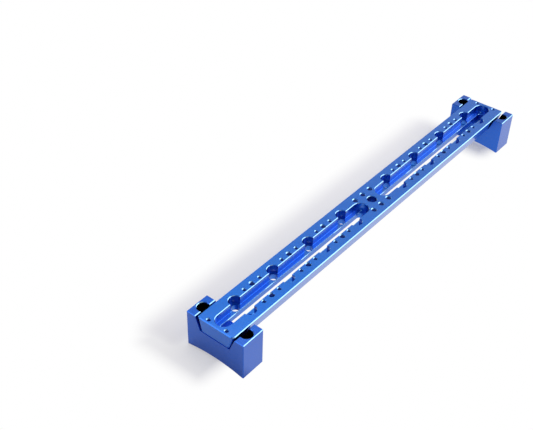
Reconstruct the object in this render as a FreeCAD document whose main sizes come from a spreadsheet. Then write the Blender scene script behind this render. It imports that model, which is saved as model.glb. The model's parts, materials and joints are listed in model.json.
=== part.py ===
import FreeCAD, Part
import math
import os
from types import SimpleNamespace

import Sketcher

# A telescope dovetail bar: a long aluminium bar with undercut flanks, lying in
# the channels of two end blocks whose hollowed undersides sit on a round tube.
# Millimetres, +X along the bar from its near to its far end, +Y across, +Z up.
# The origin is under the middle of the whole, on the floor it stands on.

os.makedirs("parts", exist_ok=True)
doc = FreeCAD.newDocument("dovetail_bar")

# Driving dimensions. Every other place and size is worked out from these.
SIZES = {
    # The bar: the wide face is the top one, and the flanks lean in below it.
    "bar_length": 500,
    "bar_width": 44,
    "bar_height": 16,
    "flank_angle": 15,
    "bar_corner_radius": 3,
    "bar_top_chamfer": 0.8,
    "bar_foot_chamfer": 0.2,
    # The two stepped slots, one in each half of the bar.
    "slot_width": 17.4,
    "slot_depth": 10,
    "slot_end_wall": 4.4,
    "slot_middle_wall": 24,
    "through_width": 7.6,
    "rim_chamfer": 0.5,
    "step_chamfer": 0.3,
    # Stations: pairs of counterbored holes on the rims of each slot.
    "station_count": 4,
    "station_first": 42.2,
    "station_inset": 38.3,
    "station_bore": 13.6,
    "station_hole": 8.4,
    # Rows of three tapped holes between the stations, on both sides.
    "row_offset": 12.1,
    "row_step": 11.3,
    "small_core": 3.3,
    "small_mouth": 4.8,
    "large_core": 5,
    "large_mouth": 6.6,
    # The group in the middle of the bar and the pair at each end.
    "middle_step": 13.6,
    "middle_bore": 10.4,
    "middle_mouth": 11.4,
    "end_hole_inset": 4,
    "end_hole_offset": 10.9,
    # The end blocks.
    "block_width": 69,
    "block_thickness": 28,
    "block_height": 42.8,
    "ear_drop": 0.6,
    "channel_clearance": 0.3,
    "channel_mouth": 48,
    "foot_land": 1.6,
    "tube_radius": 150,
    "block_chamfer": 0.6,
    "ear_bore_inset": 8.3,
    "ear_bore": 12.6,
    "ear_bore_depth": 26,
    "ear_hole": 8.4,
    "near_overhang": 0.5,
    "far_overhang": 3,
}

# How far off a place may lie and still be the same one, how far a box round a
# curve may stand off it, and the least that a cut takes away.
SAME_PLACE = 0.001
BOX_SLACK = 0.1
LEAST_CUT = 0.01

sizes = doc.addObject("Spreadsheet::Sheet", "sizes")
for row, (alias, number) in enumerate(SIZES.items(), start=1):
    sizes.set("A%d" % row, alias)
    sizes.set("B%d" % row, str(number))
    sizes.setAlias("B%d" % row, alias)
doc.recompute()


class Measure:
    """A size as both its number and the expression that ties it to the sheet."""

    def __init__(self, text, number):
        self.text = text
        self.number = number

    def joined(self, sign, other, number):
        text = getattr(other, "text", str(other))
        return Measure("(%s %s %s)" % (self.text, sign, text), number)

    def __add__(self, other):
        return self.joined("+", other, self.number + getattr(other, "number", other))

    def __sub__(self, other):
        return self.joined("-", other, self.number - getattr(other, "number", other))

    def __mul__(self, other):
        return self.joined("*", other, self.number * getattr(other, "number", other))

    def __truediv__(self, other):
        return self.joined("/", other, self.number / getattr(other, "number", other))

    def __neg__(self):
        return Measure("(-1 * %s)" % self.text, -self.number)


def tangent(angle):
    """The tangent of an angle in degrees."""
    return Measure("tan(%s * 1 deg)" % angle.text, math.tan(math.radians(angle.number)))


size = SimpleNamespace(**{
    alias: Measure("sizes." + alias, float(number)) for alias, number in SIZES.items()
})
nothing = size.bar_width - size.bar_width

# Sums that more than one sub-part uses.
foot_half = size.bar_width / 2 - size.bar_height * tangent(size.flank_angle)
channel_floor = size.block_height + size.ear_drop - size.bar_height
overall = size.bar_length + size.near_overhang + size.far_overhang
bar_middle = (size.near_overhang - size.far_overhang) / 2


def origin_plane(body, role):
    """One of the three planes that a body starts from."""
    return next(item for item in body.Origin.OriginFeatures if item.Role == role)


def new_sketch(body, name, role, level=None):
    """A sketch on one of the body's planes, raised to a level if one is given."""
    sketch = body.newObject("Sketcher::SketchObject", name)
    sketch.AttachmentSupport = [(origin_plane(body, role), "")]
    sketch.MapMode = "FlatFace"
    if level:
        sketch.setExpression("AttachmentOffset.Base.z", level.text)
    return sketch


def drive(sketch, constraint, measure):
    """Adds a constraint whose number follows the sheet."""
    index = sketch.addConstraint(constraint)
    sketch.setExpression("Constraints[%d]" % index, measure.text)


def pin(sketch, geometry, end, along, up):
    """Holds one point of a sketch at its two distances from the sketch's origin."""
    for axis, measure in (("DistanceX", along), ("DistanceY", up)):
        if measure.number < 0:
            away = -measure
            drive(sketch, Sketcher.Constraint(axis, geometry, end, -1, 1, away.number), away)
        else:
            drive(sketch, Sketcher.Constraint(axis, -1, 1, geometry, end, measure.number), measure)


def circle(sketch, along, across, diameter):
    """A circle at a place, of a diameter."""
    centre = FreeCAD.Vector(along.number, across.number, 0)
    ring = sketch.addGeometry(Part.Circle(centre, FreeCAD.Vector(0, 0, 1), diameter.number / 2))
    pin(sketch, ring, 3, along, across)
    drive(sketch, Sketcher.Constraint("Diameter", ring, diameter.number), diameter)


def arch(right, left, radius):
    """An arc of a radius that rises from one point to another at its own height."""
    half = (right - left).Length / 2
    drop = math.sqrt(radius ** 2 - half ** 2)
    reach = math.atan2(half, drop)
    centre = (right + left) / 2 - FreeCAD.Vector(0, drop, 0)
    ring = Part.Circle(centre, FreeCAD.Vector(0, 0, 1), radius)
    return Part.ArcOfCircle(ring, math.pi / 2 - reach, math.pi / 2 + reach)


def outline(sketch, corners, arch_radius=None):
    """A closed outline through corners; its last side is an arch of a radius if given."""
    points = [FreeCAD.Vector(across.number, up.number, 0) for across, up in corners]
    sides = [sketch.addGeometry(Part.LineSegment(*ends)) for ends in zip(points, points[1:])]
    for side, following in zip(sides, sides[1:]):
        sketch.addConstraint(Sketcher.Constraint("Coincident", side, 2, following, 1))
    if arch_radius:
        closing = sketch.addGeometry(arch(points[-1], points[0], arch_radius.number))
        drive(sketch, Sketcher.Constraint("Radius", closing, arch_radius.number), arch_radius)
    else:
        closing = sketch.addGeometry(Part.LineSegment(points[-1], points[0]))
    sketch.addConstraint(Sketcher.Constraint("Coincident", sides[-1], 2, closing, 1))
    sketch.addConstraint(Sketcher.Constraint("Coincident", closing, 2, sides[0], 1))
    for side, (across, up) in zip(sides, corners):
        pin(sketch, side, 1, across, up)
    pin(sketch, sides[-1], 2, *corners[-1])


def round_slot(sketch, middle, length, width):
    """The outline of a slot with round ends that lies along the bar."""
    reach = (length - width) / 2
    radius = width / 2
    up = FreeCAD.Vector(0, 0, 1)
    ends = []
    for centre, turn in ((middle - reach, math.pi / 2), (middle + reach, -math.pi / 2)):
        ring = Part.Circle(FreeCAD.Vector(centre.number, 0, 0), up, radius.number)
        end = sketch.addGeometry(Part.ArcOfCircle(ring, turn, turn + math.pi))
        pin(sketch, end, 3, centre, nothing)
        ends.append(end)
    near_end, far_end = ends
    for side, near_point, far_point in ((radius, 1, 2), (-radius, 2, 1)):
        start = FreeCAD.Vector((middle - reach).number, side.number, 0)
        stop = FreeCAD.Vector((middle + reach).number, side.number, 0)
        line = sketch.addGeometry(Part.LineSegment(start, stop))
        sketch.addConstraint(Sketcher.Constraint("Tangent", near_end, near_point, line, 1))
        sketch.addConstraint(Sketcher.Constraint("Tangent", far_end, far_point, line, 2))
    drive(sketch, Sketcher.Constraint("Radius", near_end, radius.number), radius)


def changed(body, feature, before):
    """Makes a feature the body's last one, and sees that it has cut something."""
    body.Tip = feature
    doc.recompute()
    if feature.Shape.Volume > before - LEAST_CUT:
        raise RuntimeError(feature.Name + " cuts nothing")
    return feature


def pocket(body, sketch, depth=None):
    """Cuts a sketch's outlines downwards, to a depth or through everything."""
    doc.recompute()
    before = body.Shape.Volume
    cut = body.newObject("PartDesign::Pocket", sketch.Name + "_cut")
    cut.Profile = sketch
    if depth:
        cut.setExpression("Length", depth.text)
    else:
        cut.Type = "ThroughAll"
    return changed(body, cut, before)


def drill(body, sketch, core, mouth, mouth_depth=None):
    """Drills a sketch's circles through, their mouths chamfered or counterbored."""
    doc.recompute()
    before = body.Shape.Volume
    hole = body.newObject("PartDesign::Hole", sketch.Name + "_drill")
    hole.Profile = sketch
    doc.recompute()
    hole.ThreadType = "None"
    hole.DepthType = "ThroughAll"
    hole.HoleCutType = "Counterbore" if mouth_depth else "Countersink"
    hole.HoleCutCustomValues = True
    hole.setExpression("Diameter", core.text)
    hole.setExpression("HoleCutDiameter", mouth.text)
    if mouth_depth:
        hole.setExpression("HoleCutDepth", mouth_depth.text)
    else:
        hole.HoleCutCountersinkAngle = 90
    return changed(body, hole, before)


def repeat(body, feature, sketch, count, step):
    """Repeats a cut along the bar at an even step."""
    before = body.Shape.Volume
    row = body.newObject("PartDesign::LinearPattern", feature.Name + "_row")
    row.Originals = [feature]
    row.Direction = (sketch, ["H_Axis"])
    row.setExpression("Length", (step * (count - 1)).text)
    row.setExpression("Occurrences", count.text)
    return changed(body, row, before)


def edge_names(shape, wanted):
    """The names of the edges that a test picks out."""
    return ["Edge%d" % number for number, edge in enumerate(shape.Edges, start=1) if wanted(edge)]


def break_edges(body, name, width, wanted):
    """Chamfers the edges of the body that a test picks out."""
    before = body.Shape.Volume
    base = body.Tip
    chamfer = body.newObject("PartDesign::Chamfer", name)
    chamfer.Base = (base, edge_names(base.Shape, wanted))
    chamfer.setExpression("Size", width.text)
    return changed(body, chamfer, before)


def lies_at(edge, level):
    """Whether an edge lies wholly at one height."""
    box = edge.BoundBox
    return max(abs(box.ZMin - level.number), abs(box.ZMax - level.number)) < SAME_PLACE


def reach_across(edge):
    """How far an edge gets from the middle of its body, to either side."""
    box = edge.BoundBox
    return max(abs(box.YMin), abs(box.YMax))


def make_bar():
    """The bar: an extruded section with slots, stations and tapped holes."""
    body = doc.addObject("PartDesign::Body", "dovetail_bar")
    body.Label = "dovetail_bar"
    top = size.bar_height

    section = new_sketch(body, "bar_section", "YZ_Plane")
    outline(section, [
        (-(size.bar_width / 2), top),
        (-foot_half, nothing),
        (foot_half, nothing),
        (size.bar_width / 2, top),
    ])
    pad = body.newObject("PartDesign::Pad", "bar_stock")
    pad.Profile = section
    pad.SideType = "Symmetric"
    pad.setExpression("Length", size.bar_length.text)
    doc.recompute()

    def upright(edge):
        return edge.BoundBox.XLength < SAME_PLACE and edge.BoundBox.ZLength > SAME_PLACE

    corners = body.newObject("PartDesign::Fillet", "bar_corners")
    corners.Base = (pad, edge_names(pad.Shape, upright))
    corners.setExpression("Radius", size.bar_corner_radius.text)
    changed(body, corners, pad.Shape.Volume)
    break_edges(body, "bar_top_edges", size.bar_top_chamfer, lambda edge: lies_at(edge, top))
    break_edges(body, "bar_foot_edges", size.bar_foot_chamfer, lambda edge: lies_at(edge, nothing))

    # A wide slot with a flat floor in each half, and a narrow one on through it.
    half_length = size.bar_length / 2
    slot_length = half_length - size.slot_end_wall - size.slot_middle_wall / 2
    slot_middle = (half_length - size.slot_end_wall + size.slot_middle_wall / 2) / 2
    narrow_length = slot_length - size.slot_width + size.through_width
    slots = new_sketch(body, "slots", "XY_Plane", top)
    narrow_slots = new_sketch(body, "narrow_slots", "XY_Plane", top)
    for middle in (-slot_middle, slot_middle):
        round_slot(slots, middle, slot_length, size.slot_width)
        round_slot(narrow_slots, middle, narrow_length, size.through_width)
    pocket(body, slots, size.slot_depth)
    pocket(body, narrow_slots)

    # Stations: counterbored holes whose centres lie on the slot's two rims.
    last_station = half_length - size.station_inset
    pitch = (last_station - size.station_first) / (size.station_count - 1)
    stations = new_sketch(body, "stations", "XY_Plane", top)
    for along in (-last_station, size.station_first):
        for across in (-(size.slot_width / 2), size.slot_width / 2):
            circle(stations, along, across, size.station_hole)
    bores = drill(body, stations, size.station_hole, size.station_bore, size.slot_depth)
    repeat(body, bores, stations, size.station_count, pitch)

    # Broken edges: the scalloped rims above and the narrow slots' edges below.
    rim_reach = (size.slot_width / 2 + size.station_bore / 2).number + BOX_SLACK
    narrow_reach = (size.through_width / 2).number + BOX_SLACK
    step = top - size.slot_depth

    def on_rim(edge):
        return lies_at(edge, top) and reach_across(edge) < rim_reach

    def on_step(edge):
        return lies_at(edge, step) and reach_across(edge) < narrow_reach

    break_edges(body, "slot_rims", size.rim_chamfer, on_rim)
    break_edges(body, "step_edges", size.step_chamfer, on_step)

    # Rows of three between the stations: a large hole between two small ones.
    near_row = last_station - pitch / 2
    far_row = size.station_first + pitch / 2
    row_count = size.station_count - 1
    small_row = new_sketch(body, "small_row", "XY_Plane", top)
    large_row = new_sketch(body, "large_row", "XY_Plane", top)
    for along in (-near_row, far_row):
        for across in (-size.row_offset, size.row_offset):
            circle(large_row, along, across, size.large_core)
            circle(small_row, along - size.row_step, across, size.small_core)
            circle(small_row, along + size.row_step, across, size.small_core)
    for sketch, core, mouth in (
        (small_row, size.small_core, size.small_mouth),
        (large_row, size.large_core, size.large_mouth),
    ):
        holes = drill(body, sketch, core, mouth)
        repeat(body, holes, sketch, row_count, pitch)

    # Two by three holes round a plain one in the middle, and two at each end.
    middle_group = new_sketch(body, "middle_group", "XY_Plane", top)
    end_pairs = new_sketch(body, "end_pairs", "XY_Plane", top)
    end_place = half_length - size.end_hole_inset
    for side in (1, -1):
        for along in (-size.middle_step, nothing, size.middle_step):
            circle(middle_group, along, size.row_offset * side, size.large_core)
        for along in (-end_place, end_place):
            circle(end_pairs, along, size.end_hole_offset * side, size.small_core)
    drill(body, middle_group, size.large_core, size.large_mouth)
    drill(body, end_pairs, size.small_core, size.small_mouth)
    middle_hole = new_sketch(body, "middle_hole", "XY_Plane", top)
    circle(middle_hole, nothing, nothing, size.middle_bore)
    drill(body, middle_hole, size.middle_bore, size.middle_mouth)

    body.setExpression("Placement.Base.x", bar_middle.text)
    body.setExpression("Placement.Base.z", channel_floor.text)
    return body


def make_block(name, middle):
    """An end block: a saddle with a channel for the bar and a hollow underside."""
    body = doc.addObject("PartDesign::Body", name)
    body.Label = name
    top = size.block_height
    half_width = size.block_width / 2
    floor_half = foot_half + size.channel_clearance
    saddle_half = half_width - size.foot_land

    section = new_sketch(body, name + "_section", "YZ_Plane")
    outline(section, [
        (-saddle_half, nothing),
        (-half_width, nothing),
        (-half_width, top),
        (-(size.channel_mouth / 2), top),
        (-floor_half, channel_floor),
        (floor_half, channel_floor),
        (size.channel_mouth / 2, top),
        (half_width, top),
        (half_width, nothing),
        (saddle_half, nothing),
    ], arch_radius=size.tube_radius)
    pad = body.newObject("PartDesign::Pad", name + "_stock")
    pad.Profile = section
    pad.SideType = "Symmetric"
    pad.setExpression("Length", size.block_thickness.text)
    body.Tip = pad
    doc.recompute()

    # A deep counterbored hole in each ear, its wall cut open by the channel.
    bores = new_sketch(body, name + "_ear_bores", "XY_Plane", top)
    for side in (1, -1):
        circle(bores, nothing, (half_width - size.ear_bore_inset) * side, size.ear_hole)
    drill(body, bores, size.ear_hole, size.ear_bore, size.ear_bore_depth)

    # The edges are broken all round both end faces, but for the channel's mouths,
    # and along the sides and on top.
    mouth_reach = (size.channel_mouth / 2).number + SAME_PLACE

    def at_end(edge):
        return edge.BoundBox.XLength < SAME_PLACE

    def in_channel(edge):
        return at_end(edge) and reach_across(edge) < mouth_reach

    def outer(edge):
        box = edge.BoundBox
        at_side = min(abs(box.YMin), abs(box.YMax)) > half_width.number - SAME_PLACE
        return (at_end(edge) or at_side or lies_at(edge, top)) and not in_channel(edge)

    break_edges(body, name + "_edges", size.block_chamfer, outer)

    body.setExpression("Placement.Base.x", middle.text)
    return body


bar = make_bar()
block_reach = (overall - size.block_thickness) / 2
blocks = [make_block("near_end_block", -block_reach), make_block("far_end_block", block_reach)]
doc.recompute()

for item in doc.Objects:
    if "Invalid" in item.State or "Error" in item.State:
        raise RuntimeError(item.Name + " did not build")
for body in [bar] + blocks:
    if body.Shape.isNull() or not body.Shape.isValid():
        raise RuntimeError(body.Label + " has no sound shape")
    body.Shape.exportStep("parts/" + body.Label + ".step")
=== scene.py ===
import json
import math

import bmesh
import bpy
from mathutils import Matrix, Vector


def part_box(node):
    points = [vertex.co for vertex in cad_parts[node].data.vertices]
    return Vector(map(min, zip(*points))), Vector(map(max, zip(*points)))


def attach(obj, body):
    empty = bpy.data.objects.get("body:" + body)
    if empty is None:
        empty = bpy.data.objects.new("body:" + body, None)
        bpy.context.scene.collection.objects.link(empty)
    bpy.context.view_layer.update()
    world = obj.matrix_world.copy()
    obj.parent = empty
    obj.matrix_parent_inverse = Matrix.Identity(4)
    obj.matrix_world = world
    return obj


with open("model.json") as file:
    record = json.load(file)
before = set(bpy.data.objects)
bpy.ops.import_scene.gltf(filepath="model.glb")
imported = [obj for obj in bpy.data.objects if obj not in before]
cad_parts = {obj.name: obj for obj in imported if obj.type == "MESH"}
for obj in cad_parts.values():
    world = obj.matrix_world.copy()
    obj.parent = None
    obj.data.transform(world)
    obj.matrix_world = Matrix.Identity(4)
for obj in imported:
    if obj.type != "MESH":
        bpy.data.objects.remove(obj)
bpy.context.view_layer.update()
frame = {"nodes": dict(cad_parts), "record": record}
scene = bpy.context.scene
scene.view_settings.view_transform = "Standard"


# The bar: one length of aluminium, milled with its slots and holes, bead blasted,
# anodised blue and sealed. Its long edges were cut again last; their pale colour is
# partly bare metal and partly painted highlight. It lies loose in the channels of the
# two end blocks.
mm = 0.001


def shader_node(tree, kind, settings=None, **sockets):
    """A node with its settings, whose sockets get values or links by name, or as i and a number."""
    made = tree.nodes.new("ShaderNode" + kind)
    for key, setting in (settings or {}).items():
        setattr(made, key, setting)
    for key, given in sockets.items():
        by_number = key[1:].isdigit()
        socket = made.inputs[int(key[1:]) if by_number else key.replace("_", " ")]
        if isinstance(given, bpy.types.NodeSocket):
            tree.links.new(given, socket)
        else:
            socket.default_value = given
    return made


def calculate(tree, operation, first, second=0.0, third=0.0):
    """One step of arithmetic on numbers or links."""
    return shader_node(tree, "Math", {"operation": operation}, i0=first, i1=second, i2=third).outputs[0]


def blend_colours(tree, share, first, second, way="MIX"):
    """One colour laid over another by a share."""
    mix = shader_node(tree, "Mix", {"data_type": "RGBA", "blend_type": way}, i0=share, i6=first, i7=second)
    return mix.outputs[2]


def between(tree, given, low, high, first=0.0, second=1.0):
    """Moves a number smoothly from one value to another as it goes from low to high."""
    smooth = {"interpolation_type": "SMOOTHSTEP"}
    ramp = shader_node(tree, "MapRange", smooth, i0=given, i1=low, i2=high, i3=first, i4=second)
    return ramp.outputs[0]


def within(tree, given, wall):
    """One inside a wall's distance and nothing past it."""
    return between(tree, given, wall + 0.1 * mm, wall + 0.3 * mm, 1.0, 0.0)


def new_material(name):
    """An empty material, its node tree and its surface shader."""
    material = bpy.data.materials.new(name)
    material.use_nodes = True
    tree = material.node_tree
    return material, tree, tree.nodes["Principled BSDF"]


def distance(tree, first, second):
    """How far off a point is, from its distances along two directions."""
    squares = calculate(tree, "MULTIPLY", first, first)
    squares = calculate(tree, "MULTIPLY_ADD", second, second, squares)
    return calculate(tree, "SQRT", squares)


grain_depth = 0.04 * mm
steep_tilt = (0.5, 0.62)
flat_tilt = (0.8, 0.92)
sideways_highlight_tilt = (0.42, 0.57)
cut_roughness = 0.12
blasting_roughness = 0.2
grain_roughness = 0.06


def anodised(name, dye, deep_dye, coat=0.8, edge_colour_and_highlight=None, painted_light=None, marks=None):
    """Blue anodised aluminium: a clear oxide skin over dyed, blasted metal with cut edges; painted
    highlights and shade are laid on where given.
    """
    material, tree, surface = new_material(name)
    place = shader_node(tree, "TexCoord").outputs["Object"]
    along, across, up = shader_node(tree, "SeparateXYZ", Vector=place).outputs
    facing = shader_node(tree, "NewGeometry").outputs["True Normal"]
    facing = shader_node(tree, "SeparateXYZ", Vector=facing).outputs
    tilt = calculate(tree, "ABSOLUTE", facing["Z"])

    # The dye bath took a little more here and there.
    clouds = shader_node(tree, "TexNoise", Vector=place, Scale=38.0, Detail=4.0, Roughness=0.6)
    colour = blend_colours(tree, between(tree, clouds.outputs["Fac"], 0.35, 0.7), dye, deep_dye)
    # Painted highlights and painted shade, where the part is given them.
    if painted_light:
        colour = painted_light(tree, colour, along, across, up)

    # The blasting media left a fine even grain.
    grain = shader_node(tree, "TexNoise", Vector=place, Scale=5200.0, Detail=2.0, Roughness=0.55)
    grain = grain.outputs["Fac"]
    pits = shader_node(tree, "TexVoronoi", Vector=place, Scale=3100.0).outputs["Distance"]
    relief = calculate(tree, "MULTIPLY_ADD", pits, 0.5, grain)
    if marks:
        relief = calculate(tree, "ADD", relief, marks(tree, along, across, tilt))

    # Broken edges stand at about 45 degrees: cut after blasting, they have no grain.
    steep = between(tree, tilt, *steep_tilt)
    flat = between(tree, tilt, *flat_tilt)
    cut_edge = calculate(tree, "MAXIMUM", calculate(tree, "SUBTRACT", steep, flat), 0.0)
    blasted = calculate(tree, "SUBTRACT", 1.0, cut_edge)
    # Cut edges that face sideways get a pale colour: partly bare cut metal, partly painted highlight.
    if edge_colour_and_highlight:
        sideways_highlight = between(tree, calculate(tree, "ABSOLUTE", facing["Y"]), *sideways_highlight_tilt)
        colour = blend_colours(tree, calculate(tree, "MULTIPLY", cut_edge, sideways_highlight), colour, edge_colour_and_highlight)

    roughness = calculate(tree, "MULTIPLY_ADD", blasted, blasting_roughness, cut_roughness)
    roughness = calculate(tree, "MULTIPLY_ADD", grain, grain_roughness, roughness)
    strength = calculate(tree, "MULTIPLY", blasted, 0.5)
    bump = shader_node(tree, "Bump", Height=relief, Distance=grain_depth, Strength=strength)

    tree.links.new(colour, surface.inputs["Base Color"])
    tree.links.new(roughness, surface.inputs["Roughness"])
    tree.links.new(bump.outputs["Normal"], surface.inputs["Normal"])
    surface.inputs["Metallic"].default_value = 1.0
    surface.inputs["Coat Weight"].default_value = coat
    surface.inputs["Coat Roughness"].default_value = 0.12
    return material


bar = frame["nodes"]["dovetail_bar"]
bar_low, bar_high = (Vector(corner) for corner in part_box("dovetail_bar"))
bar_top = bar_high.z
bar_middle_x = (bar_low.x + bar_high.x) / 2
bar_blue = (0.010, 0.158, 0.68, 1)
bar_deep_blue = (0.012, 0.166, 0.66, 1)
# Pale colour of the cut edges: partly bare metal, partly painted highlight.
pale_edge_and_highlight = (0.32, 0.64, 0.96, 1)

slot_half = 8.7 * mm
slot_depth = 10 * mm
slot_reach = (bar_high.x - bar_low.x) / 2 - 4.3 * mm
through_half = 3.8 * mm
corner_highlight_width = 0.6 * mm
corner_highlight_blue = (0.1, 0.4, 1.0, 1)
rim_highlight_width = 0.8 * mm
rim_highlight_blue = (0.35, 0.75, 1.0, 1)

mounts = {mount["name"]: mount for mount in frame["record"]["mounts"]}
middle_radius = mounts["middle_hole"]["dims"]["r_mm"] * mm
inner_station = mounts["inner_stations"]["dims"]["spacing_x_mm"] / 2 * mm
outer_station = mounts["outer_stations"]["dims"]["spacing_x_mm"] / 2 * mm
station_pitch = (outer_station - inner_station) / 3
station_bore = 6.8 * mm
station_shade_share = 0.65
mouth_depth = 0.6 * mm
# Painted shade inside the bar's bores.
bore_shade_blue = (0.006, 0.065, 0.42, 1)


def slot_highlights_and_shade(tree, colour, along, across, up):
    """Painted highlights along each slot's step and its through slot's rim, and painted shade in the
    middle hole and the station bores.
    """
    from_middle = calculate(tree, "SUBTRACT", along, bar_middle_x)
    from_middle_off = calculate(tree, "ABSOLUTE", from_middle)
    in_slots = within(tree, from_middle_off, slot_reach)

    from_wall = calculate(tree, "SUBTRACT", calculate(tree, "ABSOLUTE", across), slot_half)
    from_floor = calculate(tree, "SUBTRACT", up, bar_top - slot_depth)
    # Painted highlight: a bright line along the corner of each slot's wall and step.
    line = between(tree, distance(tree, from_wall, from_floor), 0.0, corner_highlight_width, 1.0, 0.0)
    colour = blend_colours(tree, calculate(tree, "MULTIPLY", line, in_slots), colour, corner_highlight_blue)
    # Painted highlight: a bright line along the rim of the through slot.
    from_rim = calculate(tree, "SUBTRACT", calculate(tree, "ABSOLUTE", across), through_half)
    rim = between(tree, distance(tree, from_rim, from_floor), rim_highlight_width / 2, rim_highlight_width, 0.9, 0.0)
    colour = blend_colours(tree, calculate(tree, "MULTIPLY", rim, in_slots), colour, rim_highlight_blue)

    # Painted shade: the middle hole and the station bores are darker blue below their mouths.
    in_hole = within(tree, distance(tree, from_middle, across), middle_radius)
    past_inner = calculate(tree, "SUBTRACT", from_middle_off, inner_station)
    from_station = calculate(tree, "WRAP", past_inner, station_pitch / 2, -station_pitch / 2)
    in_station = within(tree, distance(tree, from_station, from_wall), station_bore)
    over_step = between(tree, from_floor, 0.2 * mm, 0.6 * mm, 0.0, station_shade_share)
    in_station = calculate(tree, "MULTIPLY", calculate(tree, "MULTIPLY", in_station, in_slots), over_step)
    bore_shade = calculate(tree, "MAXIMUM", in_hole, in_station)
    below = between(tree, up, bar_top - 2 * mouth_depth, bar_top - mouth_depth, 1.0, 0.0)
    return blend_colours(tree, calculate(tree, "MULTIPLY", bore_shade, below), colour, bore_shade_blue)


cutter_pitch = 1.4 * mm
ripple_height = 0.45


def cutter_marks(tree, along, across, tilt):
    """The side of the cutter left a fine ripple on the slots' upright walls."""
    ripple = calculate(tree, "SINE", calculate(tree, "MULTIPLY", along, math.tau / cutter_pitch))
    in_slot = within(tree, calculate(tree, "ABSOLUTE", across), slot_half + 0.1 * mm)
    upright = between(tree, tilt, 0.1, 0.3, ripple_height, 0.0)
    return calculate(tree, "MULTIPLY", calculate(tree, "MULTIPLY", in_slot, upright), ripple)


bar_finish = anodised(
    "bar_blue_anodised",
    bar_blue,
    bar_deep_blue,
    edge_colour_and_highlight=pale_edge_and_highlight,
    painted_light=slot_highlights_and_shade,
    marks=cutter_marks,
)
bar.data.materials.clear()
bar.data.materials.append(bar_finish)


# The threads: M6 in the large holes and M4 in the small ones, cut with a tap
# before anodising, from under each mouth's chamfer down to the bar's foot.
# Painted shade: the threads' blue is darker than the bar's and stands in for the shade deep in the holes.
thread_shaded_finish = anodised("thread_blue_painted_shade", (0.006, 0.05, 0.36, 1), (0.006, 0.045, 0.33, 1))
steps_a_turn = 18
ridge_half_width = 0.4
ridge_rise = 0.3
bite = 0.02 * mm


def corners_of(mount):
    """Where the four holes of a rectangular pattern are."""
    middle = Vector(mount["pos_m"])
    reach_x = mount["dims"]["spacing_x_mm"] / 2 * mm
    reach_y = mount["dims"]["spacing_y_mm"] / 2 * mm
    return [Vector((middle.x + a * reach_x, b * reach_y, 0)) for a in (-1, 1) for b in (-1, 1)]


def make_threads(name, places, core_radius, pitch, chamfer_depth):
    """One joined mesh of helical ridges that stand on the walls of many holes."""
    ridge = (
        Vector((core_radius + bite, 0, pitch * ridge_half_width)),
        Vector((core_radius - pitch * ridge_rise, 0, 0)),
        Vector((core_radius + bite, 0, -pitch * ridge_half_width)),
    )
    depth = bar_top - bar_low.z - chamfer_depth - pitch
    steps = int(depth / pitch * steps_a_turn)
    points, faces = [], []
    for place in places:
        first = len(points)
        for step in range(steps + 1):
            turn = Matrix.Rotation(math.tau * step / steps_a_turn, 3, "Z")
            height = bar_top - chamfer_depth - pitch * (0.5 + step / steps_a_turn)
            points += [turn @ corner + Vector((place.x, place.y, height)) for corner in ridge]
        for step in range(steps):
            low = first + 3 * step
            faces += [(low, low + 3, low + 4, low + 1), (low + 1, low + 4, low + 5, low + 2)]
    data = bpy.data.meshes.new(name)
    data.from_pydata(points, [], faces)
    made = bpy.data.objects.new(name, data)
    scene.collection.objects.link(made)
    made.data.materials.append(thread_shaded_finish)
    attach(made, "root")
    return made


row_step = 11.3 * mm
large_places = corners_of(mounts["middle_group_corners"])
group_middle_x = (large_places[0].x + large_places[2].x) / 2
large_places += [Vector((group_middle_x, place.y, 0)) for place in large_places[:2]]
small_places = corners_of(mounts["end_threads"])
for outermost in corners_of(mounts["outer_row_threads"]):
    inward = math.copysign(station_pitch, bar_low.x + bar_high.x - 2 * outermost.x)
    for row in range(3):
        middle = outermost + Vector((inward * row, 0, 0))
        large_places.append(middle)
        small_places += [middle - Vector((row_step, 0, 0)), middle + Vector((row_step, 0, 0))]
make_threads("large_threads", large_places, 2.5 * mm, 1.0 * mm, 0.8 * mm)
make_threads("small_threads", small_places, 1.65 * mm, 0.7 * mm, 0.75 * mm)


# The end blocks: milled from thick aluminium plate, with a channel for the bar, and
# blasted and anodised blue. Each is screwed to a tube through its ears, in deep
# bores, which are painted nearly black inside as painted shade.
block_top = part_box("near_end_block")[1][2]
bore_radius = 6.3 * mm
bore_depth = 26 * mm
ear_hole_radius = 4.2 * mm
ear_bore_shade_black = (0.008, 0.012, 0.03, 1)


def ear_bore_painted_shade(tree, colour, along, across, up):
    """Painted shade: the ear bores are painted nearly black inside, from just below their mouths down."""
    darkest = colour
    shelf = block_top - bore_depth
    wall_radius = between(tree, up, shelf - 0.4 * mm, shelf - 0.2 * mm, ear_hole_radius, bore_radius)
    deeper_shade = between(tree, up, block_top - 3 * mm, block_top - 0.8 * mm, 1.0, 0.0)
    to_side = calculate(tree, "ABSOLUTE", across)
    for name in ("near_ear_holes", "far_ear_holes"):
        mount = mounts[name]
        ear_offset = mount["dims"]["spacing_y_mm"] / 2 * mm
        off_along = calculate(tree, "SUBTRACT", along, mount["pos_m"][0])
        off_across = calculate(tree, "SUBTRACT", to_side, ear_offset)
        from_axis = distance(tree, off_along, off_across)
        inside = within(tree, calculate(tree, "SUBTRACT", from_axis, wall_radius), 0.0)
        darkest = blend_colours(tree, calculate(tree, "MULTIPLY", inside, deeper_shade), darkest, ear_bore_shade_black)
    return darkest


block_finish = anodised(
    "block_blue_anodised",
    (0.010, 0.118, 0.60, 1),
    (0.011, 0.114, 0.57, 1),
    coat=0.6,
    edge_colour_and_highlight=pale_edge_and_highlight,
    painted_light=ear_bore_painted_shade,
)
for name in ("near_end_block", "far_end_block"):
    block = frame["nodes"][name]
    block.data.materials.clear()
    block.data.materials.append(block_finish)


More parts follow.
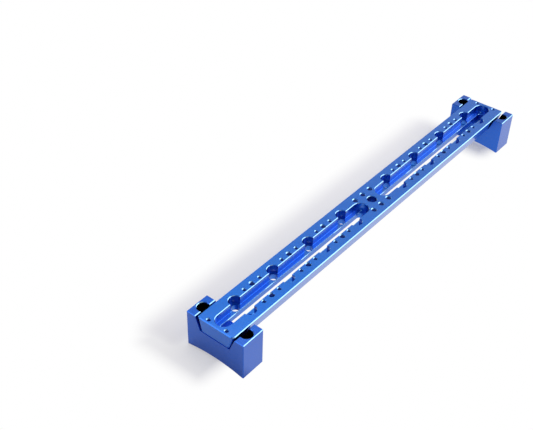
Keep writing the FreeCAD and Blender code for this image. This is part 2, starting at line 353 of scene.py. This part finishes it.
# The table: a wide sheet of white paper, which curves up behind as a backdrop. It
# glows pure white to the camera except in three rectangles beside the bar, before the
# near block and under the far end, where its own grey and the part's shade show. For
# the metal's reflections it glows bright in front of the right side and far away: a
# painted reflection.
def make_sheet(name, half_width, near_edge, far_edge, rise_radius, height):
    """A paper sweep that lies flat and curves up at the back."""
    points = [Vector((near_edge, 0, 0)), Vector((far_edge, 0, 0))]
    turns = 16
    for turn in range(1, turns + 1):
        angle = math.pi / 2 * turn / turns
        back = far_edge + rise_radius * math.sin(angle)
        points.append(Vector((back, 0, rise_radius * (1 - math.cos(angle)))))
    points.append(points[-1] + Vector((0, 0, height)))
    mesh = bmesh.new()
    sides = (Vector((0, -half_width, 0)), Vector((0, half_width, 0)))
    rows = [[mesh.verts.new(point + side) for side in sides] for point in points]
    for first, second in zip(rows, rows[1:]):
        mesh.faces.new((first[0], second[0], second[1], first[1])).smooth = True
    data = bpy.data.meshes.new(name)
    mesh.to_mesh(data)
    mesh.free()
    made = bpy.data.objects.new(name, data)
    scene.collection.objects.link(made)
    return made


def off_rectangle(tree, along, across, middle, reach):
    """How far a point of the table is outside a rectangle on it."""
    past = []
    for given, centre, half in zip((along, across), middle, reach):
        off = calculate(tree, "ABSOLUTE", calculate(tree, "SUBTRACT", given, centre))
        past.append(calculate(tree, "MAXIMUM", calculate(tree, "SUBTRACT", off, half), 0.0))
    return distance(tree, *past)


shade_fade = 0.032
shade_floor = 0.12
beside_bar = ((-0.02, 0.058), (0.235, 0.008), 0.0)
before_block = ((-0.262, 0.033), (0.013, 0.033), 0.012)
under_far_end = ((0.219, -0.004), (0.005, 0.012), 0.008)

paper, tree, surface = new_material("white_paper")
surface.inputs["Roughness"].default_value = 0.9
surface.inputs["Specular IOR Level"].default_value = 0.1
place = shader_node(tree, "TexCoord").outputs["Object"]
fibres = shader_node(tree, "TexNoise", Vector=place, Scale=900.0, Detail=3.0).outputs["Fac"]
white = blend_colours(tree, fibres, (0.86, 0.86, 0.87, 1), (0.9, 0.9, 0.91, 1))
tree.links.new(white, surface.inputs["Base Color"])
position = shader_node(tree, "NewGeometry").outputs["Position"]
along, across, up = shader_node(tree, "SeparateXYZ", Vector=position).outputs

nearest_shade = shade_fade
for middle, reach, lead in (beside_bar, before_block, under_far_end):
    off = calculate(tree, "ADD", off_rectangle(tree, along, across, middle, reach), lead)
    nearest_shade = calculate(tree, "MINIMUM", nearest_shade, off)
open_floor = between(tree, nearest_shade, 0.0, shade_fade, shade_floor, 1.0)

# Painted reflection: the paper glows to glossy rays on the right side of the bar and far away.
to_right = between(tree, across, -0.01, 0.03, 0.8, 0.0)
past_near_end = between(tree, along, -0.250, -0.235)
reflection_glow_side = calculate(tree, "MULTIPLY", to_right, past_near_end)
reflection_glow_far = between(tree, distance(tree, along, across), 0.6, 1.2, 0.0, 0.55)
seen = shader_node(tree, "LightPath")
for_camera = calculate(tree, "MULTIPLY", seen.outputs["Is Camera Ray"], open_floor)
painted_reflection = calculate(
    tree, "MULTIPLY", seen.outputs["Is Glossy Ray"], calculate(tree, "MAXIMUM", reflection_glow_side, reflection_glow_far)
)
glow = shader_node(tree, "Emission", Color=(1, 1, 1, 1), Strength=1.0)
lift = calculate(tree, "MAXIMUM", for_camera, painted_reflection)
tree.links.new(
    shader_node(tree, "MixShader", i0=lift, i1=surface.outputs["BSDF"], i2=glow.outputs[0]).outputs[0],
    tree.nodes["Material Output"].inputs["Surface"],
)
table = make_sheet("paper_sweep", 6.0, -9.0, 2.6, 0.6, 2.4)
table.rotation_euler.z = math.radians(38)
table.data.materials.append(paper)


# The lamps: a broad soft box to the right, which lights the cut edges, another
# overhead, a weak one behind to the left, and an even white room round them.
def soft_box(name, azimuth, elevation, away, size, power):
    """A rectangular lamp that faces the middle of the part."""
    lamp = bpy.data.lights.new(name, "AREA")
    lamp.shape = "RECTANGLE"
    lamp.size, lamp.size_y = size
    lamp.energy = power
    made = bpy.data.objects.new(name, lamp)
    scene.collection.objects.link(made)
    level = math.cos(elevation)
    aim = Vector((level * math.cos(azimuth), level * math.sin(azimuth), math.sin(elevation)))
    made.location = aim * away
    made.rotation_euler = aim.to_track_quat("Z", "Y").to_euler()
    return made


soft_box("right_soft_box", math.radians(-42), math.radians(31), 1.3, (1.5, 1.35), 10)
soft_box("top_soft_box", math.radians(35), math.radians(76), 1.6, (1.4, 1.4), 8)
soft_box("left_soft_box", math.radians(146), math.radians(32), 1.5, (0.7, 0.45), 1.2)

room_strength = 0.5
world = bpy.data.worlds.new("white_room")
scene.world = world
world.use_nodes = True
tree = world.node_tree
for_camera = shader_node(tree, "LightPath").outputs["Is Camera Ray"]
background = tree.nodes["Background"]
room_colour = blend_colours(tree, for_camera, (1, 0.97, 1, 1), (1, 1, 1, 1))
brightness = calculate(tree, "MULTIPLY_ADD", for_camera, 1.0 - room_strength, room_strength)
tree.links.new(room_colour, background.inputs["Color"])
tree.links.new(brightness, background.inputs["Strength"])


# The camera stands low at the near left, where the photograph was taken from.
sensor_width = 36
image_width = 533
focal_pixels = 920.3
bar_middle = Vector((-0.00125, 0, 0.0434))
camera_place = bar_middle + Vector((-0.67680, -0.39782, 0.59854))
look_azimuth = math.radians(38.638)
look_down = math.radians(38.764)
roll = math.radians(1.391)
look = Vector((
    math.cos(look_down) * math.cos(look_azimuth),
    math.cos(look_down) * math.sin(look_azimuth),
    -math.sin(look_down),
))
camera_data = bpy.data.cameras.new("camera")
camera_data.sensor_width = sensor_width
camera_data.lens = sensor_width * focal_pixels / image_width
camera_data.clip_end = 50
camera = bpy.data.objects.new("camera", camera_data)
scene.collection.objects.link(camera)
turned = look.to_track_quat("-Z", "Y").to_matrix() @ Matrix.Rotation(roll, 3, "Z")
camera.matrix_world = Matrix.Translation(camera_place) @ turned.to_4x4()
scene.camera = camera
